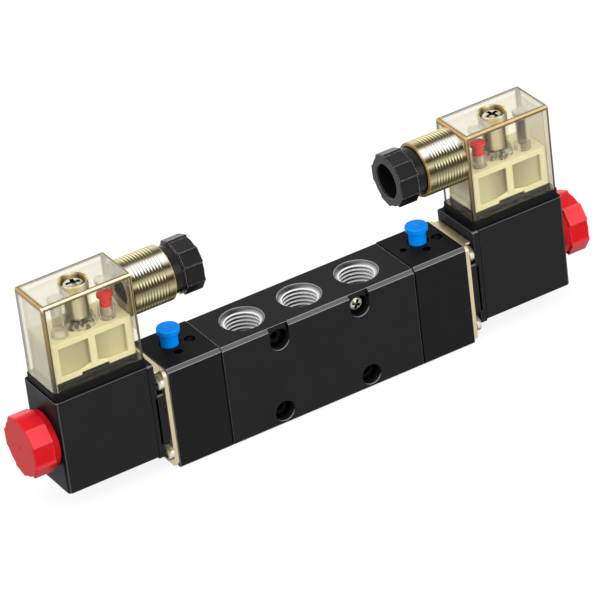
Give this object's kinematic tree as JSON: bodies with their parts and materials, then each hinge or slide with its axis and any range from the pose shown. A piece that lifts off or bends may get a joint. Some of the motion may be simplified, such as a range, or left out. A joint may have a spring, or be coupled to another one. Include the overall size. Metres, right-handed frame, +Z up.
{
  "type": "pneumatic solenoid valve",
  "caption": "Double-solenoid spool valve: black ported body between pilot caps with blue override buttons, coils with red nuts, and clear cable-gland plug connectors.",
  "frame": {"origin": "middle of the valve body's flat bottom face", "axes": "+X along the valve towards the right-hand coil, +Y to the back, +Z up through the ports"},
  "size_m": [0.2038, 0.023, 0.0714],
  "materials": {
    "black_anodised": "black anodised aluminium, satin, with lighter worn bevels",
    "bare_aluminium": "bare machined aluminium",
    "black_plastic": "black moulded thermoset, satin gloss",
    "black_rubber": "black nitrile rubber, matt",
    "champagne_plate": "yellow passivated plate, satin",
    "bright_screw": "nickel-plated steel screws, bright",
    "bright_steel": "stainless steel, turned",
    "brass": "plain brass",
    "copper_wire": "enamelled copper wire, stood in by brass",
    "blue_plastic": "bright blue moulded plastic, glossy",
    "red_plastic": "bright red moulded plastic, glossy flanks and a matt face",
    "cream_plastic": "cream moulded nylon, matt",
    "amber_clear": "clear moulded plastic with a faint amber tint, glossy",
    "clear_plastic": "clear colourless plastic, glossy",
    "red_lamp": "red tinted lamp plastic, glossy"
  },
  "bodies": {
    "valve": {"valve_body": "black_anodised", "lock_screw": "bright_screw", "left_cap_gasket": "black_rubber", "left_pilot_cap": "black_anodised", "left_override_spring": "bright_steel", "left_adapter_plate": "champagne_plate", "left_plate_screws": "bright_screw", "left_armature_tube": "bright_steel", "left_tube_seal": "black_rubber", "left_bobbin": "black_plastic", "left_coil_winding": "copper_wire", "left_yoke": "bright_steel", "left_coil_shell": "black_plastic", "left_terminal_blades": "brass", "left_connector_base": "black_rubber", "left_terminal_block": "cream_plastic", "left_connector_cover": "amber_clear", "left_indicator_lamp": "red_lamp", "left_light_pipes": "clear_plastic", "left_gland_seal": "black_rubber", "right_cap_gasket": "black_rubber", "right_pilot_cap": "black_anodised", "right_override_spring": "bright_steel", "right_adapter_plate": "champagne_plate", "right_plate_screws": "bright_screw", "right_armature_tube": "bright_steel", "right_tube_seal": "black_rubber", "right_bobbin": "black_plastic", "right_coil_winding": "copper_wire", "right_yoke": "bright_steel", "right_coil_shell": "black_plastic", "right_terminal_blades": "brass", "right_connector_base": "black_rubber", "right_terminal_block": "cream_plastic", "right_connector_cover": "amber_clear", "right_indicator_lamp": "red_lamp", "right_light_pipes": "clear_plastic", "right_gland_seal": "black_rubber"},
    "spool": {"spool": "bare_aluminium", "spool_seals": "black_rubber", "left_piston": "brass", "left_piston_seal": "black_rubber", "right_piston": "brass", "right_piston_seal": "black_rubber"},
    "left_plunger": {"left_plunger": "bright_steel", "left_plunger_spring": "bright_steel"},
    "left_override_pin": {"left_override_pin": "bright_steel"},
    "left_override_button": {"left_override_button": "blue_plastic"},
    "left_coil_nut": {"left_coil_nut": "red_plastic"},
    "left_gland_nut": {"left_gland_nut": "black_plastic"},
    "left_connector_screw": {"left_connector_screw": "bright_screw"},
    "right_plunger": {"right_plunger": "bright_steel", "right_plunger_spring": "bright_steel"},
    "right_override_pin": {"right_override_pin": "bright_steel"},
    "right_override_button": {"right_override_button": "blue_plastic"},
    "right_coil_nut": {"right_coil_nut": "red_plastic"},
    "right_gland_nut": {"right_gland_nut": "black_plastic"},
    "right_connector_screw": {"right_connector_screw": "bright_screw"}
  },
  "joints": [
    {"name": "spool_shift", "type": "slide", "parent": "valve", "child": "spool", "axis": [1, 0, 0], "range_m": [0, 0.004]},
    {"name": "left_plunger_lift", "type": "slide", "parent": "valve", "child": "left_plunger", "axis": [-1, 0, 0], "range_m": [0, 0.0008], "stiffness_N_per_m": 700},
    {"name": "left_override_push", "type": "slide", "parent": "valve", "child": "left_override_pin", "axis": [0, 0, -1], "range_m": [0, 0.0015], "stiffness_N_per_m": 500, "deforming": ["left_override_spring"]},
    {"name": "left_override_lock", "type": "hinge", "parent": "left_override_pin", "child": "left_override_button", "pos_m": [-0.04555, 0.0023, 0.041], "axis": [0, 0, 1], "range_deg": [0, 90]},
    {"name": "left_coil_nut_turn", "type": "hinge", "parent": "valve", "child": "left_coil_nut", "pos_m": [-0.097, 0, 0.022], "axis": [-1, 0, 0], "continuous": true},
    {"name": "left_gland_nut_turn", "type": "hinge", "parent": "valve", "child": "left_gland_nut", "pos_m": [-0.0385, 0, 0.0619], "axis": [1, 0, 0], "continuous": true},
    {"name": "left_connector_screw_turn", "type": "hinge", "parent": "valve", "child": "left_connector_screw", "pos_m": [-0.0759, 0, 0.0707], "axis": [0, 0, 1], "continuous": true},
    {"name": "right_plunger_lift", "type": "slide", "parent": "valve", "child": "right_plunger", "axis": [1, 0, 0], "range_m": [0, 0.0008], "stiffness_N_per_m": 700},
    {"name": "right_override_push", "type": "slide", "parent": "valve", "child": "right_override_pin", "axis": [0, 0, -1], "range_m": [0, 0.0015], "stiffness_N_per_m": 500, "deforming": ["right_override_spring"]},
    {"name": "right_override_lock", "type": "hinge", "parent": "right_override_pin", "child": "right_override_button", "pos_m": [0.04555, 0.0023, 0.041], "axis": [0, 0, 1], "range_deg": [0, 90]},
    {"name": "right_coil_nut_turn", "type": "hinge", "parent": "valve", "child": "right_coil_nut", "pos_m": [0.097, 0, 0.022], "axis": [1, 0, 0], "continuous": true},
    {"name": "right_gland_nut_turn", "type": "hinge", "parent": "valve", "child": "right_gland_nut", "pos_m": [0.0385, 0, 0.0619], "axis": [-1, 0, 0], "continuous": true},
    {"name": "right_connector_screw_turn", "type": "hinge", "parent": "valve", "child": "right_connector_screw", "pos_m": [0.0759, 0, 0.0707], "axis": [0, 0, 1], "continuous": true}
  ]
}
